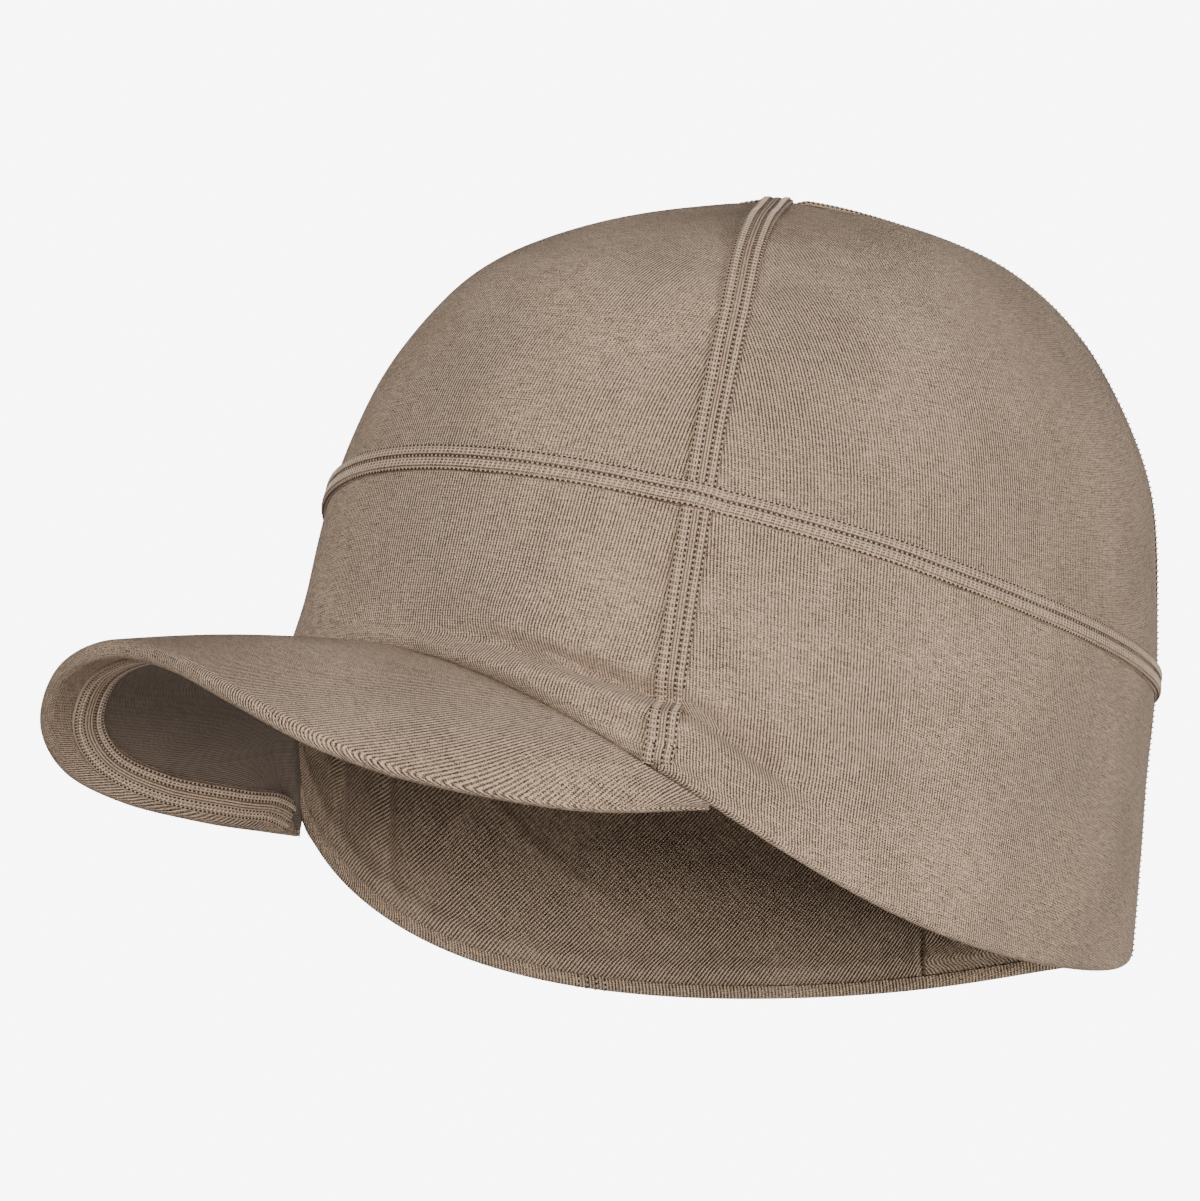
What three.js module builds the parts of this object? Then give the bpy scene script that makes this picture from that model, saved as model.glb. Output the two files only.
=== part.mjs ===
// A brimmed beanie of ribbed knit, worn size, held as a head fills it.
// Millimetres, +Z up. The visor points along -Y and the wearer's left side is +X.
// The origin is the middle of the head, level with the front edge above the visor.
// Angles go round the head from 0 at the middle of the front to 180 at the middle of the back,
// and are positive on the wearer's left.
import * as THREE from 'three';

const DEG = Math.PI / 180;
const GAP = 0.3; // clear space between neighbouring pieces
const CLOTH = 1.5; // knit of the crown
const LINING = 1.2; // inner layer behind the ear band
const LINING_END = 2; // how far it ends below the seam round the crown
const LIP = { thick: 3, high: 1.6, slope: 0.6 }; // lower edge where the knit is turned in
// Raised flat seams on the crown. The last three say where they end, in sections.
const SEAM = { wide: 6, proud: 0.8, edge: 0.4, end: 0.04, nearTop: 0.12, behindTop: 0.12 };
const ABOVE_VISOR = 1.4; // clear height between the visor's root and the seam from temple to temple

// The visor. left and right: the angles where it ends at the temples. rise: its root's middle above
// the lower edge. endDepth: how far it stands out where it ends. tilt: how much lower it sits per
// millimetre towards the wearer's left. swell: its bulge upward. turn: by which share of its depth
// its thickness has turned from the crown's slope to its own. steady: past this share of its
// length, its upward direction stays the same.
const VISOR = {
  thick: 3.8, endThick: 1.6, left: 64, right: 58, rise: -0.9, gap: 0.4, endDepth: 1.8,
  tilt: 0.02, swell: 1.2, turn: 0.5, steady: 0.88,
};
// The raised seam under the visor. margin: from the visor's edge to its middle. reach: its share of
// the visor's length. clear: added to the small gap above it.
const RING = { wide: 6.6, proud: 0.9, edge: 0.4, margin: 9.5, reach: 0.8, clear: 0.2 };

// Level sections of the crown's outside, from below the lower edge to the top.
// half: half width. front and back: where the middle line is. mid: where the head is widest.
const SECTIONS = [
  { z: -79, half: 74, front: -104, back: 88, mid: -23 },
  { z: -49, half: 83, front: -101, back: 90.5, mid: -26 },
  { z: -19, half: 84.5, front: -96, back: 93.5, mid: -21 },
  { z: 11, half: 79.5, front: -91.5, back: 96.5, mid: -15 },
  { z: 41, half: 71.5, front: -84.5, back: 95, mid: -10.5 },
  { z: 63, half: 60.5, front: -73, back: 84.5, mid: -9 },
  { z: 79, half: 44.5, front: -57.5, back: 68.5, mid: -6.5 },
  { z: 89, half: 24, front: -33, back: 43.5, mid: -1 },
  { z: 94.3, half: 0, front: 6.5, back: 6.5, mid: 6.5 },
];
const APEX = SECTIONS.length - 1;
const BACK_POINT = { amount: 0.35, fade: 2.5 }; // the back seam draws the back to a soft ridge

// Soft rolls of the knit: the angle and height above the lower edge where each is, how far it
// runs round and up the crown, and how far it stands out.
const ROLLS = [
  { angle: 34, above: 13, along: 15, across: 6, out: 1.6 },
  { angle: -36, above: 14, along: 14, across: 6, out: 1.4 },
  { angle: 84, above: 22, along: 12, across: 9, out: 1.2 },
  { angle: -86, above: 24, along: 12, across: 9, out: 1.2 },
  { angle: 132, above: 18, along: 16, across: 9, out: 1.0 },
  { angle: -128, above: 18, along: 16, across: 9, out: 1.0 },
];
const ROUND_PER_DEGREE = 1.45; // millimetres round the head

// Outer edge of the visor, from the middle of its front to near its end at the temple.
const VISOR_EDGE = [
  { side: 0, ahead: -149, height: -5.5 },
  { side: 21.5, ahead: -147.3, height: -8.5 },
  { side: 38.5, ahead: -141.5, height: -15.3 },
  { side: 48.5, ahead: -130.5, height: -22.8 },
  { side: 53, ahead: -114.5, height: -28.8 },
  { side: 56.5, ahead: -95, height: -32.6 },
  { side: 64.5, ahead: -76, height: -35 },
];

const knit = { color: 0x9c8d80, roughness: 0.95, metalness: 0 };
const thread = { color: 0x8f8074, roughness: 0.9, metalness: 0 };
const inner = { color: 0x6e6156, roughness: 1, metalness: 0 };

const group = new THREE.Group();

function addPiece(name, geometry, look) {
  const mesh = new THREE.Mesh(geometry, new THREE.MeshStandardMaterial(look));
  mesh.name = name;
  group.add(mesh);
}

// Smooth curve through a table's rows: x = 0 is the first row, 1 the second, and so on.
function between(row, x, last) {
  const i = Math.min(Math.max(Math.floor(x), 0), last - 1);
  const t = x - i;
  const [a, b, c, d] = [row(i - 1), row(i), row(i + 1), row(i + 2)];
  return b + 0.5 * t * (c - a + t * (2 * a - 5 * b + 4 * c - d + t * (3 * (b - c) + d - a)));
}

// A column of SECTIONS at x. Past the top the crown comes down again on the other side.
function column(name, x) {
  const value = (i) => {
    if (i < 0) return 2 * SECTIONS[0][name] - SECTIONS[1][name];
    if (i <= APEX) return SECTIONS[i][name];
    const over = SECTIONS[2 * APEX - i][name];
    return name === 'z' ? over : 2 * SECTIONS[APEX][name] - over;
  };
  return between(value, x, APEX);
}

// The section that lies at a height.
function sectionAt(z) {
  let low = 0;
  let high = APEX;
  for (let i = 0; i < 40; i += 1) {
    const middle = (low + high) / 2;
    if (column('z', middle) < z) low = middle;
    else high = middle;
  }
  return (low + high) / 2;
}

// Heights of the lower edge and of the seam round the crown, at an angle.
function edgeHeight(angle) {
  const fromBack = (Math.PI - Math.abs(angle)) / (20 * DEG);
  return -41 + 30 * Math.cos(angle) + 11 * Math.cos(2 * angle) + 4 * Math.exp(-fromBack * fromBack);
}
const bandHeight = (angle) => 17 + 18.7 * Math.cos(angle) + 1.5 * Math.cos(2 * angle);
const edgeAt = (angle) => sectionAt(edgeHeight(angle));
const bandAt = (angle) => sectionAt(bandHeight(angle));

// Angle of the seam from temple to temple: it leans back as it climbs.
const crossStart = edgeAt(55.5 * DEG);
function crossAngle(x) {
  const climb = Math.max(x - crossStart, 0) / (APEX - crossStart);
  return (55.5 + 22 * climb ** 1.6) * DEG;
}

function plainSkin(angle, x) {
  const [z, half, front, back, mid] = ['z', 'half', 'front', 'back', 'mid'].map((n) => column(n, x));
  const ahead = Math.cos(angle);
  const side = Math.sin(angle);
  const point = BACK_POINT.amount * Math.min(Math.max((APEX - x) / BACK_POINT.fade, 0), 1);
  const y = ahead > 0
    ? mid + (front - mid) * ahead
    : mid + (back - mid) * ((1 - point) * -ahead + point * (1 - Math.abs(side)));
  return new THREE.Vector3(half * side, y, z);
}

// Outward direction of the crown. On the ridge at the back it is the one between both sides, made
// longer so that a wall keeps its thickness there.
function outward(angle, x) {
  const step = 1e-3;
  const slope = (a) => {
    const round = plainSkin(a + step, x).sub(plainSkin(a - step, x));
    const up = plainSkin(a, x + step).sub(plainSkin(a, x - step));
    return round.cross(up).normalize();
  };
  const fromRidge = Math.PI - Math.abs(angle);
  if (fromRidge > 0.02) return slope(angle);
  const own = slope((Math.PI - 0.02) * Math.sign(angle || 1));
  const ridge = new THREE.Vector3(0, own.y, own.z).normalize();
  return ridge.divideScalar(Math.max(own.dot(ridge), 0.5));
}

// A point of the crown's outside, soft rolls included, moved outward by off.
function skin(angle, x, off = 0) {
  const point = plainSkin(angle, x);
  const above = point.z - edgeHeight(angle);
  let roll = 0;
  for (const r of ROLLS) {
    const round = ((angle / DEG - r.angle) * ROUND_PER_DEGREE) / r.along;
    const up = (above - r.above) / r.across;
    roll += r.out * Math.exp(-round * round - up * up);
  }
  return point.addScaledVector(outward(angle, x), off + roll);
}

// How far along the sections, or round the crown, one millimetre goes.
const perUp = (angle, x) => 0.02 / skin(angle, x - 0.01).distanceTo(skin(angle, x + 0.01));
const perRound = (angle, x) => (
  0.02 / plainSkin(angle - 0.01, x).distanceTo(plainSkin(angle + 0.01, x)));

// Triangles from faces given as points. Shared points become one, flat slivers go, and the whole
// is turned so that it faces outward.
function solidFrom(faces) {
  const index = new Map();
  const points = [];
  const corner = (p) => {
    const key = [p.x, p.y, p.z].map((v) => Math.round(v * 1e4)).join();
    if (!index.has(key)) {
      index.set(key, points.length);
      points.push(p);
    }
    return index.get(key);
  };
  const triangles = [];
  for (const face of faces) {
    for (let i = 2; i < face.length; i += 1) {
      const t = [corner(face[0]), corner(face[i - 1]), corner(face[i])];
      if (t[0] !== t[1] && t[1] !== t[2] && t[2] !== t[0]) triangles.push(t);
    }
  }
  let volume = 0;
  for (const [a, b, c] of triangles) {
    volume += points[a].dot(new THREE.Vector3().crossVectors(points[b], points[c]));
  }
  if (volume < 0) triangles.forEach((t) => t.reverse());
  const geometry = new THREE.BufferGeometry();
  geometry.setAttribute('position', new THREE.Float32BufferAttribute(
    points.flatMap((p) => [p.x, p.y, p.z]), 3));
  geometry.setIndex(triangles.flat());
  geometry.computeVertexNormals();
  return geometry;
}

// A wall between an outer and an inner sheet, each a grid of rows of points.
function wall(outer, under) {
  const faces = [];
  const rows = outer.length - 1;
  const cols = outer[0].length - 1;
  for (let i = 0; i < rows; i += 1) {
    for (let j = 0; j < cols; j += 1) {
      faces.push([outer[i][j], outer[i][j + 1], outer[i + 1][j + 1], outer[i + 1][j]]);
      faces.push([under[i][j], under[i + 1][j], under[i + 1][j + 1], under[i][j + 1]]);
    }
  }
  const rim = (a, b, c, d) => faces.push([a, b, c, d]);
  for (let j = 0; j < cols; j += 1) {
    rim(outer[0][j + 1], outer[0][j], under[0][j], under[0][j + 1]);
    rim(outer[rows][j], outer[rows][j + 1], under[rows][j + 1], under[rows][j]);
  }
  for (let i = 0; i < rows; i += 1) {
    rim(outer[i][0], outer[i + 1][0], under[i + 1][0], under[i][0]);
    rim(outer[i + 1][cols], outer[i][cols], under[i][cols], under[i + 1][cols]);
  }
  return solidFrom(faces);
}

// A closed body through like outlines, one after another.
function sweep(outlines, closed) {
  const faces = closed ? [] : [outlines[0], [...outlines[outlines.length - 1]].reverse()];
  const turns = closed ? outlines.length : outlines.length - 1;
  for (let i = 0; i < turns; i += 1) {
    const a = outlines[i];
    const b = outlines[(i + 1) % outlines.length];
    a.forEach((p, j) => {
      const k = (j + 1) % a.length;
      faces.push([p, b[j], b[k], a[k]]);
    });
  }
  return solidFrom(faces);
}

// One panel of the crown. left and right give its side limits at a section, low and high its
// lower and upper limits at an angle. With a lip, its lower edge is turned in.
function panel({ left, right, low, high, cols, rows, lip }) {
  const place = (across, up) => {
    let angle = (left(APEX / 2) + right(APEX / 2)) / 2;
    let x = 0;
    for (let i = 0; i < 12; i += 1) {
      const [bottom, top] = [low(angle), high(angle)];
      x = up < 0 ? bottom - up * perUp(angle, bottom) : bottom + (top - bottom) * up;
      const half = 0.5 * GAP * perRound(angle, x);
      angle = THREE.MathUtils.lerp(left(x) + half, right(x) - half, across);
    }
    return [angle, x];
  };
  // Rows below zero are millimetres above the lower edge.
  const plain = Array.from({ length: rows + 1 }, (_, i) => i / rows);
  const ups = lip ? [0, -LIP.high, -(LIP.high + LIP.slope), ...plain.slice(2)] : plain;
  const grid = (offs) => ups.map((up, i) => Array.from({ length: cols + 1 }, (_, j) => {
    const [angle, x] = place(j / cols, up);
    return skin(angle, x, offs(i));
  }));
  const depth = (i) => (lip && i < 2 ? LIP.thick : CLOTH);
  return wall(grid(() => 0), grid((i) => -depth(i)));
}

const half = (curve) => (angle) => curve(angle) + 0.5 * GAP * perUp(angle, curve(angle));
const below = (curve) => (angle) => curve(angle) - 0.5 * GAP * perUp(angle, curve(angle));
const top = () => APEX - 0.06;

addPiece('front_dome_panel', panel({
  left: (x) => -crossAngle(x), right: crossAngle, low: half(bandAt), high: top, cols: 16, rows: 10,
}), knit);
addPiece('left_dome_panel', panel({
  left: crossAngle, right: () => Math.PI, low: half(bandAt), high: top, cols: 13, rows: 11,
}), knit);
addPiece('right_dome_panel', panel({
  left: () => -Math.PI, right: (x) => -crossAngle(x), low: half(bandAt), high: top, cols: 13, rows: 11,
}), knit);
addPiece('front_band_panel', panel({
  left: (x) => -crossAngle(x), right: crossAngle, low: edgeAt, high: below(bandAt), cols: 24, rows: 9,
  lip: true,
}), knit);
addPiece('left_side_panel', panel({
  left: crossAngle, right: () => Math.PI, low: edgeAt, high: below(bandAt), cols: 18, rows: 9, lip: true,
}), knit);
addPiece('right_side_panel', panel({
  left: () => -Math.PI, right: (x) => -crossAngle(x), low: edgeAt, high: below(bandAt), cols: 18, rows: 9,
  lip: true,
}), knit);

// Section of a raised seam: across its width from -1 to 1, and how far it is off the surface.
const seamSection = ({ proud, edge }) => [
  { across: -1, off: GAP }, { across: 0, off: GAP }, { across: 1, off: GAP },
  { across: 1, off: GAP + edge }, { across: 0.62, off: GAP + proud },
  { across: 0, off: GAP + proud }, { across: -0.62, off: GAP + proud },
  { across: -1, off: GAP + edge },
];

// A seam along a route on the crown. Each stop of the route has its point, its outward direction
// and, where it lies on the back ridge, how steeply the surface falls to both sides.
function crownSeam(route) {
  const last = route.length - 1;
  return sweep(route.map(({ point, out, fall = 0 }, i) => {
    const along = new THREE.Vector3().subVectors(
      route[Math.min(i + 1, last)].point, route[Math.max(i - 1, 0)].point);
    const side = along.cross(out).normalize();
    return seamSection(SEAM).map(({ across, off }) => point.clone()
      .addScaledVector(side, across * 0.5 * SEAM.wide)
      .addScaledVector(out, off - Math.abs(across) * 0.5 * SEAM.wide * fall));
  }), false);
}

const steps = (from, to, count, stop) => Array.from({ length: count + 1 }, (_, i) => (
  stop(THREE.MathUtils.lerp(from, to, i / count))));
const onSkin = (angle, x) => ({ point: skin(angle, x), out: outward(angle, x) });
const apex = {
  point: new THREE.Vector3(0, SECTIONS[APEX].mid, SECTIONS[APEX].z), out: new THREE.Vector3(0, 0, 1),
};

// The seam round the crown runs in one length, from one side of the back seam to the other.
const halfSeam = 0.5 * SEAM.wide + 2 * GAP;
const sideEnd = Math.PI - halfSeam * perRound(0.97 * Math.PI, bandAt(0.97 * Math.PI));
addPiece('band_seam', crownSeam(
  steps(-sideEnd, sideEnd, 72, (angle) => onSkin(angle, bandAt(angle)))), thread);

// The seam from temple to temple runs under it. It shows as one length over the top, between the
// two crossings, and one below each of them, down to the visor.
const crossing = bandAt(crossAngle(bandAt(60 * DEG)));
const clearUp = halfSeam * perUp(crossAngle(crossing), crossing);
const overVisor = sectionAt(edgeHeight(55.5 * DEG) + VISOR.rise + VISOR.thick / 2 + ABOVE_VISOR);
const climb = (sideOf, from, to, count) => (
  steps(from, to, count, (x) => onSkin(sideOf * crossAngle(x), x)));
const upLeft = climb(1, crossing + clearUp, APEX - SEAM.nearTop, 18);
const upRight = climb(-1, crossing + clearUp, APEX - SEAM.nearTop, 18);
addPiece('cross_seam_top', crownSeam([...upLeft, apex, ...upRight.reverse()]), thread);
addPiece('cross_seam_left', crownSeam(climb(1, overVisor, crossing - clearUp, 9)), thread);
addPiece('cross_seam_right', crownSeam(climb(-1, overVisor, crossing - clearUp, 9)), thread);

// The back seam follows the ridge from behind the other seam down to the lower edge.
function onRidge(x) {
  const out = outward(Math.PI, x);
  const fall = Math.sqrt(Math.max(out.lengthSq() - 1, 0));
  return { point: plainSkin(Math.PI, x), out: out.normalize(), fall };
}
const backTop = APEX - SEAM.behindTop;
addPiece('back_seam', crownSeam(steps(edgeAt(Math.PI) + SEAM.end, backTop, 30, onRidge)), thread);

// The inner layer behind the ear band, from the turned-in edge to the seam round the crown.
const liningOutlines = Array.from({ length: 54 }, (_, i) => {
  const angle = (i / 54) * 2 * Math.PI - Math.PI;
  const low = edgeAt(angle) + (LIP.high + LIP.slope + GAP) * perUp(angle, edgeAt(angle));
  const high = sectionAt(bandHeight(angle) - LINING_END);
  const at = (x, off) => plainSkin(angle, x).addScaledVector(outward(angle, x), off);
  const outer = steps(low, high, 6, (x) => at(x, -CLOTH - 2 * GAP));
  const under = steps(high, low, 6, (x) => at(x, -CLOTH - 2 * GAP - LINING));
  return [...outer, ...under];
});
addPiece('ear_band_lining', sweep(liningOutlines, true), inner);

// The visor. t runs from -1 at the right temple to 1 at the left one, v from the root to the edge.
function visorRoot(t, up, off = VISOR.gap) {
  const angle = t * (t > 0 ? VISOR.left : VISOR.right) * DEG;
  return skin(angle, sectionAt(edgeHeight(angle) + VISOR.rise + up), off);
}
function visorEdge(t) {
  const way = Math.sign(t) || 1;
  const last = VISOR_EDGE.length;
  const rows = VISOR_EDGE.map(({ side, ahead, height }) => (
    new THREE.Vector3(way * side, ahead, height - way * VISOR.tilt * side)));
  rows.push(visorRoot(way, -0.6, VISOR.gap + VISOR.endDepth));
  const row = (i) => {
    if (i < 0) return new THREE.Vector3(-rows[1].x, rows[1].y, rows[1].z);
    return i <= last ? rows[i] : rows[last].clone().multiplyScalar(2).sub(rows[last - 1]);
  };
  const at = (axis) => between((i) => row(i)[axis], Math.abs(t) * last, last);
  return new THREE.Vector3(at('x'), at('y'), at('z'));
}
function ruled(t, v) {
  return visorRoot(t, 0).lerp(visorEdge(t), v);
}
function visorNormal(t, v) {
  const step = 0.004;
  const inner = THREE.MathUtils.clamp(t, -VISOR.steady, VISOR.steady);
  const across = ruled(inner + step, v).sub(ruled(inner - step, v));
  return visorEdge(inner).sub(visorRoot(inner, 0)).cross(across).normalize();
}
// A point of the visor's middle layer, moved off towards its top. Beside the crown, its thickness
// runs up the crown, so that the root lies flat against it.
function visorPoint(t, v, off) {
  const upCrown = visorRoot(t, 1).sub(visorRoot(t, -1)).normalize();
  const normal = visorNormal(t, v);
  const towards = upCrown.lerp(normal, Math.min(v / VISOR.turn, 1)).normalize();
  const swell = VISOR.swell * Math.sin(Math.PI * v) * (1 - t * t);
  return ruled(t, v).addScaledVector(towards, off).addScaledVector(normal, swell);
}
const visorDepth = (t) => visorRoot(t, 0).distanceTo(visorEdge(t));
const visorHalf = (t) => 0.5 * THREE.MathUtils.lerp(VISOR.thick, VISOR.endThick, t ** 6);

function visorOutline(t) {
  const h = visorHalf(t);
  const round = h / visorDepth(t);
  const flat = [0.2, 0.4, 0.6, 0.8, 1].map((part) => [(1 - round) * part, h]);
  const rolled = [30, 60].map((turn) => (
    [1 - round * (1 - Math.sin(turn * DEG)), h * Math.cos(turn * DEG)]));
  const upper = [...flat, ...rolled];
  return [
    visorRoot(t, h), ...upper.map(([v, off]) => visorPoint(t, v, off)), visorPoint(t, 1, 0),
    ...upper.reverse().map(([v, off]) => visorPoint(t, v, -off)), visorRoot(t, -h),
  ];
}
addPiece('visor', sweep(steps(-1, 1, 50, visorOutline), false), knit);

// The raised seam on the underside follows the visor's edge from one temple to the other.
const underVisor = (t) => seamSection(RING).map(({ across, off }) => {
  const v = 1 - (RING.margin - 0.5 * across * RING.wide) / visorDepth(t);
  return visorPoint(t, v, -visorHalf(t) - RING.clear - off);
});
addPiece('visor_seam', sweep(steps(-RING.reach, RING.reach, 40, underVisor), false), thread);

export default group;
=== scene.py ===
"""A brimmed beanie of ribbed knit: its panels, flat seams, stitches, lining and visor.

Lengths are in millimetres and become metres where a mesh is made. The visor points along -Y, the
wearer's left side is +X and the origin is the middle of the head, level with the front edge.
Angles go round the head, from 0 at the middle of the front, positive on the wearer's left.
"""

import math

import bmesh
import bpy
import numpy as np
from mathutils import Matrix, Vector


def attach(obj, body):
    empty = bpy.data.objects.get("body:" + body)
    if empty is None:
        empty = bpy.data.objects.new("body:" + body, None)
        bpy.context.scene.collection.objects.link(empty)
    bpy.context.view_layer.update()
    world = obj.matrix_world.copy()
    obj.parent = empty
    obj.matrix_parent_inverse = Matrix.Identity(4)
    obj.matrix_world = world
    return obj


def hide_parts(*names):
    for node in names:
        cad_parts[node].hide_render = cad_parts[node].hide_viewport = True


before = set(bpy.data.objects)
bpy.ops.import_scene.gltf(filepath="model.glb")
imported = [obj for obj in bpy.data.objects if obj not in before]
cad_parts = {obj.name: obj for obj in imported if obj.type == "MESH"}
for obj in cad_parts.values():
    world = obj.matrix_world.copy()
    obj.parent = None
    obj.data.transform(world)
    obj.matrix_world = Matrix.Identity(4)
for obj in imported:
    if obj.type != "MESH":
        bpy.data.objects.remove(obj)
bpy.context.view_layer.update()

# Crown panels: six pieces of fine ribbed jersey 1.5 mm thick, sewn edge to edge. Three meet at the
# top and three go down over brow, ears and nape, where their lower edge is turned in and rounded.
MM = 0.001
CLOTH = 1.5

# Level sections of the crown's outside, from below its lower edge to the top. half is the half
# width, front and back are where the middle line is, and mid is where the head is widest.
SECTIONS = {
    "z": [-79, -49, -19, 11, 41, 63, 79, 89, 94.3],
    "half": [74, 83, 84.5, 79.5, 71.5, 60.5, 44.5, 24, 0],
    "front": [-104, -101, -96, -91.5, -84.5, -73, -57.5, -33, 6.5],
    "back": [88, 90.5, 93.5, 96.5, 95, 84.5, 68.5, 43.5, 6.5],
    "mid": [-23, -26, -21, -15, -10.5, -9, -6.5, -1, 6.5],
}
APEX = len(SECTIONS["z"]) - 1
BELOW_LOWEST = -0.5

# The back runs to a blunt point at its middle seam. The point fades out over the top sections.
BACK_POINT, BACK_FADE = 0.35, 2.5

# Heights round the head: middle level, drop from front to back, and arch at both front and back.
EDGE_LEVEL, EDGE_DROP, EDGE_ARCH = -41, 30, 11
NAPE_LIFT, NAPE_WIDTH = 4, math.radians(20)
BAND_LEVEL, BAND_DROP, BAND_ARCH = 17, 18.7, 1.5

# The seam from temple to temple starts at this angle and turns back on its way up.
CROSS_FOOT, CROSS_TURN, CROSS_BEND = math.radians(55.5), math.radians(22), 1.6


def unit(v):
    return v / np.maximum(np.linalg.norm(v, axis=-1, keepdims=True), 1e-9)


def smooth_curve(row, x, last):
    """Smooth curve through a row of values that has one more value before 0 and after last."""
    i = np.clip(np.floor(x).astype(int), 0, last - 1)
    t = x - i
    a, b, c, d = row[i], row[i + 1], row[i + 2], row[i + 3]
    return b + 0.5 * t * (c - a + t * (2 * a - 5 * b + 4 * c - d + t * (3 * (b - c) + d - a)))


def column(name, x):
    """Values of SECTIONS at section x, which needn't be whole. The top is round at the apex."""
    c = SECTIONS[name]
    past_top = c[-2] if name == "z" else 2 * c[-1] - c[-2]
    return smooth_curve(np.array([2 * c[0] - c[1], *c, past_top], float), np.asarray(x, float), APEX)


def section_at(z):
    steps = np.linspace(BELOW_LOWEST, APEX, 2500)
    return np.interp(z, column("z", steps), steps)


def edge_height(angle):
    from_back = (math.pi - np.abs(angle)) / NAPE_WIDTH
    nape = NAPE_LIFT * np.exp(-from_back**2)
    return EDGE_LEVEL + EDGE_DROP * np.cos(angle) + EDGE_ARCH * np.cos(2 * angle) + nape


def band_height(angle):
    return BAND_LEVEL + BAND_DROP * np.cos(angle) + BAND_ARCH * np.cos(2 * angle)


def edge_at(angle):
    return section_at(edge_height(angle))


def band_at(angle):
    return section_at(band_height(angle))


def cross_angle(x):
    foot = edge_at(CROSS_FOOT)
    climb = np.maximum(x - foot, 0) / (APEX - foot)
    return CROSS_FOOT + CROSS_TURN * climb**CROSS_BEND


def plain_skin(angle, x):
    """Points of the crown's outside without any relief."""
    z, half, front, back, mid = (column(n, x) for n in ("z", "half", "front", "back", "mid"))
    ahead, aside = np.cos(angle), np.sin(angle)
    point = BACK_POINT * np.clip((APEX - x) / BACK_FADE, 0, 1)
    rear = mid + (back - mid) * (point * (1 - np.abs(aside)) - (1 - point) * ahead)
    return np.stack([half * aside, np.where(ahead > 0, mid + (front - mid) * ahead, rear), z], -1)


def outward(angle, x):
    """Outward direction. On the back ridge it is mitred between both sides."""
    step, ridge_from = 1e-3, math.pi - 0.02
    own = np.clip(angle, -ridge_from, ridge_from)
    round_way = plain_skin(own + step, x) - plain_skin(own - step, x)
    up_way = plain_skin(own, x + step) - plain_skin(own, x - step)
    n = unit(np.cross(round_way, up_way))
    ridge = unit(n * (0, 1, 1))
    mitred = ridge / np.clip((n * ridge).sum(-1), 0.5, None)[..., None]
    return np.where((np.abs(angle) > ridge_from)[..., None], mitred, n)


def per_up(angle, x, step=0.01):
    """Sections in one millimetre up the crown."""
    gap = plain_skin(angle, x - step) - plain_skin(angle, x + step)
    return 2 * step / np.linalg.norm(gap, axis=-1)


def per_round(angle, x, step=0.01):
    """Radians in one millimetre round the crown."""
    gap = plain_skin(angle - step, x) - plain_skin(angle + step, x)
    return 2 * step / np.linalg.norm(gap, axis=-1)


# Soft rolls and creases of the knit: angle and height above the lower edge where each is, how far
# it runs round and up the crown, its slope up the head per degree, and how far it stands out.
ROLLS = [
    {"angle": 34, "above": 13, "along": 15, "across": 6, "lean": 0.0, "out": 1.6},
    {"angle": -36, "above": 14, "along": 14, "across": 6, "lean": 0.0, "out": 1.4},
    {"angle": 84, "above": 22, "along": 12, "across": 9, "lean": 0.0, "out": 1.2},
    {"angle": -86, "above": 24, "along": 12, "across": 9, "lean": 0.0, "out": 1.2},
    {"angle": 132, "above": 18, "along": 16, "across": 9, "lean": 0.0, "out": 1.0},
    {"angle": -128, "above": 18, "along": 16, "across": 9, "lean": 0.0, "out": 1.0},
    {"angle": 44, "above": 11.2, "along": 24, "across": 2.0, "lean": 0.25, "out": -5.0},
    {"angle": 46, "above": 7.2, "along": 28, "across": 3.0, "lean": 0.25, "out": 2.4},
    {"angle": 67, "above": 14.0, "along": 14, "across": 2.0, "lean": -0.1, "out": -3.8},
    {"angle": 68, "above": 10.0, "along": 15, "across": 3.0, "lean": -0.1, "out": 1.4},
    {"angle": -45, "above": 12, "along": 20, "across": 1.8, "lean": -0.2, "out": -1.2},
    {"angle": 86, "above": 137, "along": 15, "across": 0.8, "lean": 0.5, "out": -0.3},
    {"angle": 86, "above": 133, "along": 17, "across": 0.8, "lean": 0.45, "out": -0.3},
    {"angle": 92, "above": 129, "along": 25, "across": 0.9, "lean": 0.5, "out": -0.35},
]
ROUND_PER_DEGREE = 1.45

# Over the crease where the visor is sewn on, the knit swells. Loose cloth is wavy all over.
SWELL = {"out": 0.9, "above": 2.6, "across": 1.5, "end": math.radians(66), "fade": 0.12}
WAVES_OUT = 0.22

# The seam from temple to temple draws the knit beside it into short puckers. They are 8.4 mm apart,
# which is 0.75 radians of a wave to the millimetre, and come closer and wider by turns over 30 mm.
PUCKER = {"out": 0.16, "beside": 4, "width": 5, "turn": 0.75, "top": APEX - 0.4}
PUCKER_DRIFT = {"by": 2.1, "turn": 0.21}


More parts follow.
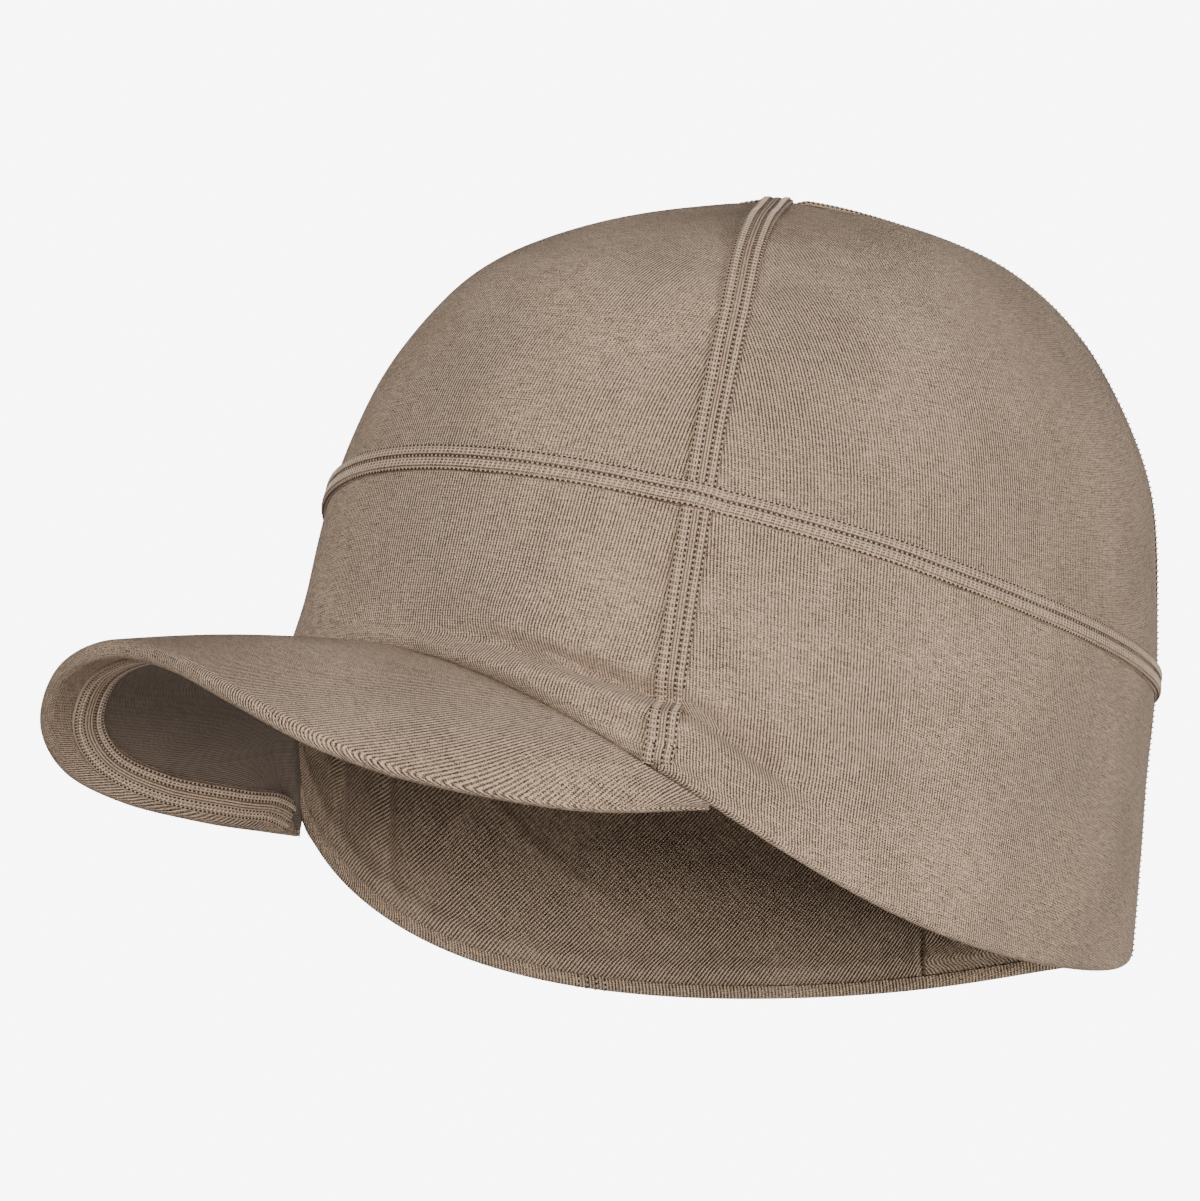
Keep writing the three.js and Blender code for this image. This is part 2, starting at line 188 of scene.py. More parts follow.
def relief(angle, x, swell=True):
    """How far the knit stands out from the plain crown."""
    height = column("z", x)
    above = height - edge_height(angle)
    out = WAVES_OUT * np.sin(5 * angle + 1.7 * x) * np.sin(3 * x - 2 * angle + 0.6)
    for r in ROLLS:
        away = np.degrees(angle) - r["angle"]
        run = away * ROUND_PER_DEGREE / r["along"]
        climb = (above - r["above"] - r["lean"] * away) / r["across"]
        out = out + r["out"] * np.exp(-run**2 - climb**2)
    if swell:
        near = np.clip((SWELL["end"] - np.abs(angle)) / SWELL["fade"], 0, 1)
        out = out + SWELL["out"] * near * np.exp(-(((above - SWELL["above"]) / SWELL["across"]) ** 2))
    beside = np.abs(np.abs(angle) - cross_angle(x)) / per_round(angle, x)
    drift = PUCKER_DRIFT["by"] * np.sin(height * PUCKER_DRIFT["turn"])
    pucker = PUCKER["out"] * np.sin(height * PUCKER["turn"] + drift)
    fade = np.exp(-(((beside - PUCKER["beside"]) / PUCKER["width"]) ** 2))
    return out + pucker * fade * (x < PUCKER["top"])


def skin(angle, x, off=0.0):
    """Points of the crown's outside, or off millimetres further out."""
    angle, x = np.broadcast_arrays(np.asarray(angle, float), np.asarray(x, float))
    out = outward(angle, x)
    return plain_skin(angle, x) + out * (relief(angle, x) + off)[..., None]


def run_length(grid, axis):
    """Length run along an axis of a grid of points, from its start."""
    run = np.cumsum(np.linalg.norm(np.diff(grid, axis=axis), axis=-1), axis=axis)
    pad = [(0, 0), (0, 0)]
    pad[axis] = (1, 0)
    return np.pad(run, pad)


# Points closer together than WELD become one, and an edge bent by more than SHARP is not smoothed.
WELD = 0.002
SHARP = math.radians(50)


def cloth_mesh(name, grid, weave, caps=True, second=None):
    """A closed mesh from a grid of points whose last row is its first. weave holds, in millimetres,
    where each point is across and along the knit's ribs. second marks faces of another material."""
    rows, cols = grid.shape[:2]
    index = np.arange(rows * cols).reshape(rows, cols)
    quads = np.stack([index[:-1, :-1], index[:-1, 1:], index[1:, 1:], index[1:, :-1]], -1)
    faces = quads.reshape(-1, 4).tolist()
    if caps:
        faces += [index[:-1, 0].tolist(), index[:-1, -1].tolist()]
    mesh = bpy.data.meshes.new(name)
    mesh.from_pydata((grid.reshape(-1, 3) * MM).tolist(), [], faces)
    corner = np.zeros(len(mesh.loops), int)
    mesh.loops.foreach_get("vertex_index", corner)
    layer = mesh.uv_layers.new(name="weave")
    layer.data.foreach_set("uv", weave.reshape(-1, 2)[corner].astype(np.float32).ravel())
    if second is not None:
        marks = np.zeros(len(faces), np.int32)
        marks[: second.size] = second.ravel()
        mesh.polygons.foreach_set("material_index", marks)
    shape = bmesh.new()
    shape.from_mesh(mesh)
    bmesh.ops.remove_doubles(shape, verts=shape.verts, dist=WELD * MM)
    bmesh.ops.recalc_face_normals(shape, faces=shape.faces)
    shape.to_mesh(mesh)
    shape.free()
    mesh.polygons.foreach_set("use_smooth", [True] * len(mesh.polygons))
    mesh.set_sharp_from_angle(angle=SHARP)
    piece = bpy.data.objects.new(name, mesh)
    bpy.context.scene.collection.objects.link(piece)
    return piece


def dress(piece, materials, nodes):
    """Gives a piece its materials and puts it in the place of the solids' nodes."""
    for material in materials:
        piece.data.materials.append(material)
    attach(piece, "root")
    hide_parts(*nodes)


def linear(hex_colour):
    parts = [int(hex_colour[i : i + 2], 16) / 255 for i in (1, 3, 5)]
    return [p / 12.92 if p <= 0.04045 else ((p + 0.055) / 1.055) ** 2.4 for p in parts] + [1.0]


def add(tree, kind, links=(), **settings):
    """Adds a node. links and values go by socket number or name; other settings are properties."""
    node = tree.nodes.new(kind)
    values = settings.pop("values", {})
    for name, value in settings.items():
        setattr(node, name, value)
    for key, value in values.items():
        node.inputs[key].default_value = value
    for key, source in dict(links).items():
        tree.links.new(source, node.inputs[key])
    return node


def maths(tree, operation, *terms):
    """One step of arithmetic. A term is a socket or a number."""
    node = add(tree, "ShaderNodeMath", operation=operation)
    for socket, term in zip(node.inputs, terms):
        if isinstance(term, bpy.types.NodeSocket):
            tree.links.new(term, socket)
        else:
            socket.default_value = term
    return node.outputs[0]


# Sizes in the knit. Its ribs sway over 20 mm. Fuzz hides them in patches 36 mm wide, which is 28 to
# the metre, and blotches of tone are 22 mm wide, 45 to the metre. Slubs are thick spots of yarn,
# 4.5 mm long and 0.5 mm thick. The yarn's hairs are 0.02 mm thick, too fine to show, so they are
# drawn about ten times coarser.
SWAY, SLUBS_PER_MM, HAIRS_PER_MM = 20, (0.22, 2.0, 1.0), 4.2
PATCHES_PER_M, BLOTCHES_PER_M = 28, 45
WOOL_ROUGHNESS, WOOL_SHINE = 0.92, 0.25
FUZZ_TINT, FUZZ_ROUGHNESS = "#c9c8c6", 0.45


def jersey(name, dark, light, rib, loop, depth, melange=3.8, fuzz=0.15):
    """Knit with ribs rib apart, loops loop long and ribs depth deep, in millimetres. melange is how
    strongly its hairs differ in tone, and fuzz how much of them stands up from its face."""
    material = bpy.data.materials.new(name)
    material.use_nodes = True
    tree = material.node_tree
    tree.nodes.clear()
    weave = add(tree, "ShaderNodeUVMap", uv_map="weave").outputs[0]
    split = add(tree, "ShaderNodeSeparateXYZ", {0: weave})
    place = add(tree, "ShaderNodeTexCoord").outputs["Object"]

    def noise(where, scale, detail, roughness=0.6):
        return add(tree, "ShaderNodeTexNoise", {"Vector": where},
                   values={"Scale": scale, "Detail": detail, "Roughness": roughness}).outputs["Fac"]

    # Ribs are upright rows of V-shaped loops, and sway by up to half a rib.
    sway = maths(tree, "MULTIPLY", noise(weave, 1 / SWAY, 1.0), 0.5)
    across = maths(tree, "ADD", maths(tree, "DIVIDE", split.outputs[0], rib), sway)
    along = maths(tree, "DIVIDE", split.outputs[1], loop)
    ribs = maths(tree, "COSINE", maths(tree, "MULTIPLY", across, 2 * math.pi))
    lean = maths(tree, "PINGPONG", across, 0.5)
    loops = maths(tree, "COSINE", maths(tree, "MULTIPLY", maths(tree, "ADD", along, lean), 2 * math.pi))
    hair = noise(place, HAIRS_PER_MM / MM, 2.0, 0.7)
    # Slubs run across the ribs.
    stretched = add(tree, "ShaderNodeMapping", {0: weave}, values={"Scale": SLUBS_PER_MM}).outputs[0]
    slub = noise(stretched, 1.0, 2.0)
    blotch = noise(place, BLOTCHES_PER_M, 4.0)
    # Ribs show clearly in some places and drown in the fuzz in others.
    clear = add(tree, "ShaderNodeMapRange", {"Value": noise(place, PATCHES_PER_M, 2.0)},
                values={"From Min": 0.36, "From Max": 0.6, "To Min": 0.4, "To Max": 1.0}).outputs[0]
    shown = maths(tree, "MULTIPLY", ribs, clear)

    loops_up, hair_up, ribs_up = 0.1, 0.5, 0.5
    face = maths(tree, "MULTIPLY_ADD", loops, loops_up, maths(tree, "MULTIPLY", hair, hair_up))
    height = maths(tree, "MULTIPLY_ADD", shown, ribs_up, face)
    # Tone follows the relief: valleys between ribs and loops are painted darker as painted shade, and
    # their crests lighter as painted highlight, besides the random tones of hairs, slubs and blotches.
    middle, loop_painted_shade, rib_painted_shade, slub_tone, blotch_tone = 0.47, 0.24, 0.6, 1.0, 0.3
    tone = maths(tree, "MULTIPLY_ADD", loops, loop_painted_shade, middle)
    tone = maths(tree, "MULTIPLY_ADD", shown, rib_painted_shade, tone)
    for source, weight in ((hair, melange), (slub, slub_tone), (blotch, blotch_tone)):
        part = maths(tree, "MULTIPLY", maths(tree, "SUBTRACT", source, 0.5), weight)
        tone = maths(tree, "ADD", tone, part)
    colour = add(tree, "ShaderNodeMix", {0: tone}, data_type="RGBA",
                 values={6: linear(dark), 7: linear(light)}).outputs[2]
    bump = add(tree, "ShaderNodeBump", {"Height": height},
               values={"Strength": 1.0, "Distance": depth * MM}).outputs[0]
    shader = add(tree, "ShaderNodeBsdfPrincipled", {"Base Color": colour, "Normal": bump},
                 values={"Roughness": WOOL_ROUGHNESS, "Specular IOR Level": WOOL_SHINE,
                         "Sheen Weight": fuzz, "Sheen Roughness": FUZZ_ROUGHNESS,
                         "Sheen Tint": linear(FUZZ_TINT)})
    add(tree, "ShaderNodeOutputMaterial", {0: shader.outputs[0]})
    return material


# Ribbed jersey of taupe melange yarn, brushed. It gives fine upright ribs that come and go in a
# matt, speckled face with a pale fuzz at its rims.
outer_knit = jersey("ribbed_jersey", "#46352a", "#d6b89b", rib=0.7, loop=0.5, depth=0.4)

# The lower edge bends in round a small radius, and its strip ends a little above the fold. HEM_ABOVE
# are rows above the bend, and the even rows end at a share of the panel's height above the edge.
HEM_RADIUS, HEM_STRIP = 1.5, 2.4
HEM_ABOVE = (2.6, 2.0, HEM_RADIUS)
HEM_BENDS = np.radians([22, 45, 68, 90, 112, 135, 158])
HEM_OUTSIDE, HEM_INSIDE = 0.06, 0.1

# Gap beside each panel under its seams, in millimetres, and below the apex, in sections.
EDGE_GAP, TOP_GAP = 0.15, 0.06


def panel(name, left, right, low, high, cols, rows, hem=False):
    """A panel between left and right angles, which depend on the section, and between low and high
    sections, which depend on the angle. Its rows of points go down the outside and up the inside,
    each with its share of the panel's height, or else a height in millimetres above the lower edge,
    and with its distance out from the crown's outside."""
    down = [(s, 0.0, 0.0) for s in np.linspace(1, HEM_OUTSIDE if hem else 0, rows + 1)]
    if hem:
        down += [(None, up, 0.0) for up in HEM_ABOVE]
        down += [(None, HEM_RADIUS * (1 - math.sin(t)), -HEM_RADIUS * (1 - math.cos(t)))
                 for t in HEM_BENDS]
        down += [(None, up, -2 * HEM_RADIUS) for up in (HEM_RADIUS, 2.0, HEM_STRIP)]
        down += [(None, HEM_STRIP + 0.15, -CLOTH - 0.2)]
    inside = np.linspace(HEM_INSIDE if hem else 0, 1, rows // 4 + 1)
    down += [(s, 0.0, -CLOTH) for s in inside] + [(1, 0.0, 0.0)]
    shares = np.array([[np.nan if s is None else s] for s, _, _ in down])
    ups = np.array([[up] for _, up, _ in down])
    offs = np.array([[off] for _, _, off in down])
    across = np.linspace(0, 1, cols + 1)[None, :]
    # Angles and sections depend on each other, so a few turns settle them, from a middle section on.
    middle, turns = 4.0, 14
    angle = np.full((len(down), cols + 1), (left(middle) + right(middle)) / 2)
    for _ in range(turns):
        foot, head = low(angle), high(angle)
        x = np.where(np.isnan(shares), foot + ups * per_up(angle, foot),
                     foot + (head - foot) * np.nan_to_num(shares))
        side = EDGE_GAP * per_round(angle, x)
        angle = (left(x) + side) * (1 - across) + (right(x) - side) * across
    grid = skin(angle, x, offs)
    u = run_length(grid, 1)
    u = u - u[:, [cols // 2]]
    piece = cloth_mesh(name.replace("panel", "cloth"), grid, np.stack([u, run_length(grid, 0)], -1))
    dress(piece, [outer_knit], [name])


def at_right(x):
    return -cross_angle(x)


def at_back(x):
    return np.full_like(x, math.pi)


def at_back_right(x):
    return np.full_like(x, -math.pi)


def at_top(angle):
    return np.full_like(angle, APEX - TOP_GAP)


panel("front_dome_panel", at_right, cross_angle, band_at, at_top, cols=110, rows=80)
panel("left_dome_panel", cross_angle, at_back, band_at, at_top, cols=110, rows=90)
panel("right_dome_panel", at_back_right, at_right, band_at, at_top, cols=110, rows=90)
panel("front_band_panel", at_right, cross_angle, edge_at, band_at, cols=130, rows=50, hem=True)
panel("left_side_panel", cross_angle, at_back, edge_at, band_at, cols=140, rows=70, hem=True)
panel("right_side_panel", at_back_right, at_right, edge_at, band_at, cols=140, rows=70, hem=True)

# Cross seam: from one temple over the top to the other. Both edges of cloth lie flat, one over the
# other, under two pairs of stitch rows beside a flat middle. A cross stitch closes each end.

# Shares of a thread's nominal width: its least and most width, and its height. Then the shares of
# a needle hole's width: its length and its height. A thread is a bead with few sides.
THREAD_LEAST, THREAD_MOST, THREAD_FLAT = 0.85, 1.1, 0.7
HOLE_LONG, HOLE_DEEP = 1.7, 0.6
BEAD_SEGMENTS, BEAD_RINGS = 6, 4


def stitch_group():
    """Short threads laid along a path, each with a needle hole beyond its end, drawn as a speck of
    painted shade. The path's points carry the outward direction, the thread's turn from the path, its
    length and the hole's width, in metres."""
    tree = bpy.data.node_groups.new("stitch_row", "GeometryNodeTree")
    face = tree.interface
    face.new_socket("Geometry", in_out="INPUT", socket_type="NodeSocketGeometry")
    for name in ("Pitch", "Thread Width"):
        face.new_socket(name, in_out="INPUT", socket_type="NodeSocketFloat")
    face.new_socket("Seed", in_out="INPUT", socket_type="NodeSocketInt")
    for name in ("Thread Material", "Hole Material"):
        face.new_socket(name, in_out="INPUT", socket_type="NodeSocketMaterial")
    face.new_socket("Geometry", in_out="OUTPUT", socket_type="NodeSocketGeometry")
    given = add(tree, "NodeGroupInput").outputs

    def carried(name, kind="FLOAT"):
        return add(tree, "GeometryNodeInputNamedAttribute", data_type=kind, values={0: name}).outputs[0]

    # Places along the path, each turned so that X runs along it and Z points outward.
    curve = add(tree, "GeometryNodeMeshToCurve", {0: given["Geometry"]}).outputs[0]
    spaced = add(tree, "GeometryNodeResampleCurve", {"Curve": curve, "Length": given["Pitch"]},
                 mode="LENGTH").outputs[0]
    along = add(tree, "FunctionNodeAlignRotationToVector",
                {"Vector": add(tree, "GeometryNodeInputTangent").outputs[0]}, axis="X").outputs[0]
    upright = add(tree, "FunctionNodeAlignRotationToVector",
                  {"Rotation": along, "Vector": carried("out", "FLOAT_VECTOR")},
                  axis="Z", pivot_axis="X").outputs[0]

    # Threads: flat beads, as long as the path says and of slightly uneven width.
    turn = add(tree, "FunctionNodeAxisAngleToRotation", {"Angle": carried("turn")},
               values={"Axis": (0, 0, 1)}).outputs[0]
    turned = add(tree, "FunctionNodeRotateRotation", {0: upright, 1: turn},
                 rotation_space="LOCAL").outputs[0]
    uneven = add(tree, "FunctionNodeRandomValue", {"Seed": given["Seed"]}, data_type="FLOAT",
                 values={2: THREAD_LEAST, 3: THREAD_MOST}).outputs[1]
    width = maths(tree, "MULTIPLY", given["Thread Width"], uneven)
    flat = maths(tree, "MULTIPLY", width, THREAD_FLAT)
    scale = add(tree, "ShaderNodeCombineXYZ", {0: carried("long"), 1: width, 2: flat}).outputs[0]
    bead = add(tree, "GeometryNodeMeshUVSphere",
               values={"Radius": 0.5, "Segments": BEAD_SEGMENTS, "Rings": BEAD_RINGS}).outputs[0]
    threads = add(tree, "GeometryNodeInstanceOnPoints",
                  {"Points": spaced, "Instance": bead, "Rotation": turned, "Scale": scale}).outputs[0]

    # Needle holes: specks of painted shade half a stitch further on.
    hole = carried("hole")
    hole_size = add(tree, "ShaderNodeCombineXYZ", {0: maths(tree, "MULTIPLY", hole, HOLE_LONG), 1: hole,
                                                   2: maths(tree, "MULTIPLY", hole, HOLE_DEEP)})
    speck = add(tree, "GeometryNodeMeshIcoSphere", values={"Radius": 0.5, "Subdivisions": 1}).outputs[0]
    half_pitch = maths(tree, "MULTIPLY", given["Pitch"], 0.5)
    step = add(tree, "ShaderNodeCombineXYZ", {0: half_pitch}).outputs[0]
    offset = add(tree, "FunctionNodeRotateVector", {0: step, 1: upright}).outputs[0]
    moved = add(tree, "GeometryNodeSetPosition", {"Geometry": spaced, "Offset": offset}).outputs[0]
    holes = add(tree, "GeometryNodeInstanceOnPoints",
                {"Points": moved, "Instance": speck, "Rotation": upright, "Scale": hole_size.outputs[0],
                 "Selection": maths(tree, "GREATER_THAN", hole, 1e-6)}).outputs[0]

    both = add(tree, "GeometryNodeJoinGeometry")
    for instances, is_hole in ((threads, 0.0), (holes, 1.0)):
        marked = add(tree, "GeometryNodeStoreNamedAttribute", {"Geometry": instances}, data_type="FLOAT",
                     domain="INSTANCE", values={"Name": "is_hole", "Value": is_hole}).outputs[0]
        tree.links.new(marked, both.inputs[0])
    real = add(tree, "GeometryNodeRealizeInstances", {0: both.outputs[0]}).outputs[0]
    real = add(tree, "GeometryNodeSetShadeSmooth", {0: real}).outputs[0]
    threaded = add(tree, "GeometryNodeSetMaterial",
                   {"Geometry": real, "Material": given["Thread Material"]}).outputs[0]
    dark = maths(tree, "GREATER_THAN", carried("is_hole"), 0.5)
    done = add(tree, "GeometryNodeSetMaterial",
               {"Geometry": threaded, "Selection": dark, "Material": given["Hole Material"]}).outputs[0]
    add(tree, "NodeGroupOutput", {0: done})
    return tree


def spun(name, dark, light, grain, rough):
    """A matt material with grain spots to the millimetre between two colours."""
    material = bpy.data.materials.new(name)
    material.use_nodes = True
    tree = material.node_tree
    place = add(tree, "ShaderNodeTexCoord").outputs["Object"]
    spots = add(tree, "ShaderNodeTexNoise", {"Vector": place},
                values={"Scale": grain / MM, "Detail": 2.0}).outputs["Fac"]
    colour = add(tree, "ShaderNodeMix", {0: spots}, data_type="RGBA",
                 values={6: linear(dark), 7: linear(light)}).outputs[2]
    shader = tree.nodes["Principled BSDF"]
    tree.links.new(colour, shader.inputs["Base Color"])
    shader.inputs["Roughness"].default_value = rough
    return material


STITCHES = stitch_group()

# Twisted polyester thread, a shade lighter than the knit and less matt. Flecks a third of a millimetre
# wide stand for its twist.
thread = spun("polyester_thread", "#8a7461", "#d2bca6", grain=3.0, rough=0.7)

# The shade inside needle holes, a matt dark brown. It gives a dotted line along each stitch row.
needle_hole = spun("needle_hole_shadow", "#21170f", "#3c2c20", grain=3.0, rough=1.0)

# The crown's jersey, pressed flat under its stitches: a smoother face with shallow, closer ribs.
seam_knit = jersey("flat_seam_jersey", "#4b392d", "#bca187", rib=0.6, loop=0.5, depth=0.14, melange=2.6)

# Width of the thread, width of a needle hole and way from one stitch to the next.
THREAD, HOLE, STITCH_PITCH = 0.4, 0.5, 1.15


def stitches(name, rows, pitch, seed):
    """rows: paths of stitches, each with its points, outward directions, turn, length and hole."""
    points, edges, facts = [], [], {"out": [], "turn": [], "long": [], "hole": []}
    for path, out, turn, length, hole in rows:
        first = len(points)
        points += (path * MM).tolist()
        edges += [(first + i, first + i + 1) for i in range(len(path) - 1)]
        facts["out"] += out.ravel().tolist()
        for key, value in (("turn", turn), ("long", length * MM), ("hole", hole * MM)):
            facts[key] += [value] * len(path)
    base = bpy.data.meshes.new(name + "_path")
    base.from_pydata(points, edges, [])
    for key, values in facts.items():
        kind, field = ("FLOAT_VECTOR", "vector") if key == "out" else ("FLOAT", "value")
        base.attributes.new(key, kind, "POINT").data.foreach_set(field, values)
    guide = bpy.data.objects.new(name + "_path", base)
    bpy.context.scene.collection.objects.link(guide)
    modifier = guide.modifiers.new("stitches", "NODES")
    modifier.node_group = STITCHES
    wanted = {"Pitch": pitch * MM, "Thread Width": THREAD * MM, "Seed": seed,
              "Thread Material": thread, "Hole Material": needle_hole}
    for item in STITCHES.interface.items_tree:
        if item.name in wanted and item.in_out == "INPUT":
            modifier[item.identifier] = wanted[item.name]
    ready = guide.evaluated_get(bpy.context.evaluated_depsgraph_get())
    mesh = bpy.data.meshes.new_from_object(ready)
    mesh.name = name
    bpy.data.objects.remove(guide)
    piece = bpy.data.objects.new(name, mesh)
    bpy.context.scene.collection.objects.link(piece)
    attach(piece, "root")


# A seam's strip is rounded over STRIP_EDGE at its sides and runs out over END_TAPER at its ends. Each
# stitch row pulls a dent into it, and its threads lie a little proud of that.
STRIP_EDGE, END_TAPER, END_LEAST = 0.7, 1.2, 0.02
DENT_SHARE, DENT_HALF = 0.42, 0.28
THREAD_PROUD = 0.1
RUNG_TURN = math.radians(78)

# A cross stitch closes an end: points of the path from that end, threads across, share of the width.
BAR = {"from_end": 6, "points": 12, "share": 0.9, "long": 1.8, "hole": 0.45}


def strip_profile(half_width, proud, rows):
    """A strip with soft edges, pulled down where a row of stitches runs."""
    across = np.linspace(-half_width, half_width, 37)
    rise = np.clip((half_width - np.abs(across)) / STRIP_EDGE, 0, 1)
    height = proud * np.sqrt(1 - (1 - rise) ** 2)
    for r in rows:
        height = height - DENT_SHARE * proud * np.exp(-(((across - r) / DENT_HALF) ** 2))
    return across, height


def seam(name, nodes, path, out, seed, rows, rungs, half_width, proud, lift=0.12, fall=0.0, bars=False):
    """path and out: points on the surface and outward directions along the seam. rows: where its
    stitch rows run. rungs: where its short cross threads are, and how long. lift: its distance
    from the surface. fall: how steeply the surface drops beside it. bars: cross stitches close it."""
    along = unit(np.gradient(path, axis=0))
    side = unit(np.cross(along, out))
    run = np.concatenate([[0], np.cumsum(np.linalg.norm(np.diff(path, axis=0), axis=-1))])
    ends = np.sqrt(np.clip(np.minimum(run, run[-1] - run) / END_TAPER, END_LEAST, 1))
    across, height = strip_profile(half_width, proud, rows)
    under = np.full_like(across, 0.4 * lift)
    shape = np.concatenate([across, across[::-1], across[:1]])
    rise = np.concatenate([height + lift, under, (height + lift)[:1]])
    drop = np.abs(shape)[:, None] * np.broadcast_to(fall, len(path))[None, :]
    grid = (path[None] + side[None] * shape[:, None, None]
            + out[None] * (rise[:, None] * ends[None, :] - drop)[..., None])
    weave = np.stack(np.broadcast_arrays(shape[:, None], run[None, :]), -1)
    dress(cloth_mesh(name + "_strip", grid, weave), [seam_knit], nodes)

    def laid(offset, extra):
        level = np.interp(offset, across, height) + lift + extra
        return path + side * offset + out * (level * ends - abs(offset) * fall)[:, None]

    lines = [(laid(r, THREAD_PROUD), out, 0.0, STITCH_PITCH / 2, HOLE) for r in rows]
    lines += [(laid(r, 0.0), out, RUNG_TURN, long, 0.0) for r, long in rungs]
    for end in (BAR["from_end"], len(path) - 1 - BAR["from_end"]) if bars else ():
        half_bar = half_width * BAR["share"]
        crossing = np.linspace(-half_bar, half_bar, BAR["points"])[:, None]
        level = np.interp(crossing, across, height) + lift + THREAD_PROUD
        bar = path[end] + side[end] * crossing + out[end] * level
        bar_out = np.repeat(out[[end]], BAR["points"], 0)
        lines.append((bar, bar_out, math.radians(90), BAR["long"], BAR["hole"]))
    stitches(name + "_stitches", lines, STITCH_PITCH, seed)


def on_skin(angle, x, off=0.0):
    """Points on the crown and their outward directions."""
    angle, x = np.broadcast_arrays(np.asarray(angle, float), np.asarray(x, float))
    return skin(angle, x, off), outward(angle, x)


# Cross and back seam are alike. The cross seam starts ABOVE_VISOR above the lower edge, and both stop
# BEFORE_TOP sections before the apex, where only the cross seam passes over.
FLAT_SEAM = {"rows": [-2.75, -0.95, 0.95, 2.75], "rungs": [(-1.85, 1.4), (1.85, 1.4)],
             "half_width": 3.1, "proud": 1.0}
ABOVE_VISOR = 1.0
BEFORE_TOP = 0.1
foot = section_at(edge_height(CROSS_FOOT) + ABOVE_VISOR)
climb = np.linspace(foot, APEX - BEFORE_TOP, 300)
left_path, left_out = on_skin(cross_angle(climb), climb)
right_path, right_out = on_skin(-cross_angle(climb[::-1]), climb[::-1])
top_point = np.array([[0.0, SECTIONS["back"][-1], SECTIONS["z"][-1]]])
cross_path = np.concatenate([left_path, top_point, right_path])
cross_out = np.concatenate([left_out, [[0.0, 0.0, 1.0]], right_out])
seam("cross_seam", ["cross_seam_top", "cross_seam_left", "cross_seam_right"], cross_path, cross_out,
     seed=3, bars=True, **FLAT_SEAM)

# Back seam: the same flat seam of overlapped jersey, from behind the cross seam down the middle of
# the back to the lower edge. It bends over the ridge where both rear panels meet.
fall = np.linspace(APEX - BEFORE_TOP, edge_at(math.pi) + 0.02, 260)
back_path, back_out = on_skin(np.full_like(fall, math.pi), fall)
beside_ridge = np.sqrt(np.maximum((back_out**2).sum(-1) - 1, 0))
seam("back_seam", ["back_seam"], back_path, unit(back_out), seed=5, fall=beside_ridge, **FLAT_SEAM)

# Band seam: a flat seam of overlapped jersey with three stitch rows. It goes round the crown, over
# the cross seam, from one side of the back seam to the other.

# It ends BESIDE_BACK radians from the middle of the back, and rises where it passes over a seam.
BESIDE_BACK = 0.035
BAND_LIFT, CROSSING_LIFT, CROSSING_HALF = 0.1, 0.75, 4
round_head = np.linspace(-math.pi + BESIDE_BACK, math.pi - BESIDE_BACK, 620)
band_x = band_at(round_head)
from_cross = (np.abs(round_head) - cross_angle(band_x)) / per_round(round_head, band_x)
over_cross = CROSSING_LIFT * np.exp(-((from_cross / CROSSING_HALF) ** 4))
band_path, band_out = on_skin(round_head, band_x, BAND_LIFT + over_cross)
seam("band_seam", ["band_seam"], band_path, band_out, seed=7,
     rows=[-2.4, -0.2, 2.4], rungs=[(-1.3, 1.7), (1.1, 2.1)], half_width=2.75, proud=0.95)

# Ear band lining: an inner layer of finer ribbed jersey, sewn in at the turned-in edge and up at the
# band seam. It has a plain seam at the wearer's right back and lies in soft upright folds.
LINING_SEAM = math.radians(-153.7)
LINING_SLANT = math.radians(-38)

# Depth of its shown and its hidden side behind the cloth, and where it begins and ends.
SHOWN_DEPTH, HIDDEN_DEPTH = 0.8, 0.25
ABOVE_STRIP, BELOW_BAND = 0.3, 2

# Folds: angle at the lower edge, how far it turns per millimetre up, width in degrees, how far out.
LINING_FOLDS = [
    {"foot": -68.6, "lean": 0.33, "width": 1.9, "out": 3.2},
    {"foot": -81.9, "lean": 0.25, "width": 2.0, "out": 3.2},
    {"foot": -84.6, "lean": -0.25, "width": 2.2, "out": 3.2},
    {"foot": -96.0, "lean": -0.10, "width": 5.0, "out": 1.0},
    {"foot": -139.0, "lean": 1.25, "width": 2.6, "out": 1.4},
    {"foot": 44.0, "lean": 0.2, "width": 2.4, "out": 1.0},
    {"foot": 75.0, "lean": -0.2, "width": 2.6, "out": 1.1},
    {"foot": 118.0, "lean": 0.4, "width": 3.0, "out": 0.7},
]

# The lining's seam is a soft ridge with a groove along its middle, and its foot is a low roll.
RIDGE = {"out": 0.8, "width": 1.8}
GROOVE = {"out": -1.2, "width": 0.35}
FOOT_ROLL = {"out": 0.8, "above": 3.0, "width": 2.2}

# The crown's jersey in a finer make, worn face in. It gives slanted ribs in a flatter, browner face
# without much fuzz.
lining_knit = jersey("lining_jersey", "#443429", "#c4ab92", rib=0.66, loop=0.5, depth=0.3, melange=2.4,
                     fuzz=0.05)

# Degrees from the lining's seam once round the head, closer together beside the seam.
beside_seam = np.linspace(0, 4, 28)
elsewhere = np.linspace(4, 356, 700)[1:-1]
turn_round = LINING_SEAM + np.radians(np.concatenate([beside_seam, elsewhere, 356 + beside_seam]))
turn_round = np.where(turn_round > math.pi, turn_round - 2 * math.pi, turn_round)
lower = edge_at(turn_round) + (HEM_STRIP + ABOVE_STRIP) * per_up(turn_round, edge_at(turn_round))
upper = section_at(band_height(turn_round) - BELOW_BAND)
share = np.linspace(0, 1, 60)[:, None]
inner_x = lower * (1 - share) + upper * share
inner_angle = np.broadcast_to(turn_round, inner_x.shape)
inner_z = column("z", inner_x)
fold = np.zeros_like(inner_x)
for f in LINING_FOLDS:
    at = f["foot"] + f["lean"] * (inner_z - edge_height(inner_angle))
    fold += f["out"] * np.exp(-(((np.degrees(inner_angle) - at) / f["width"]) ** 2))
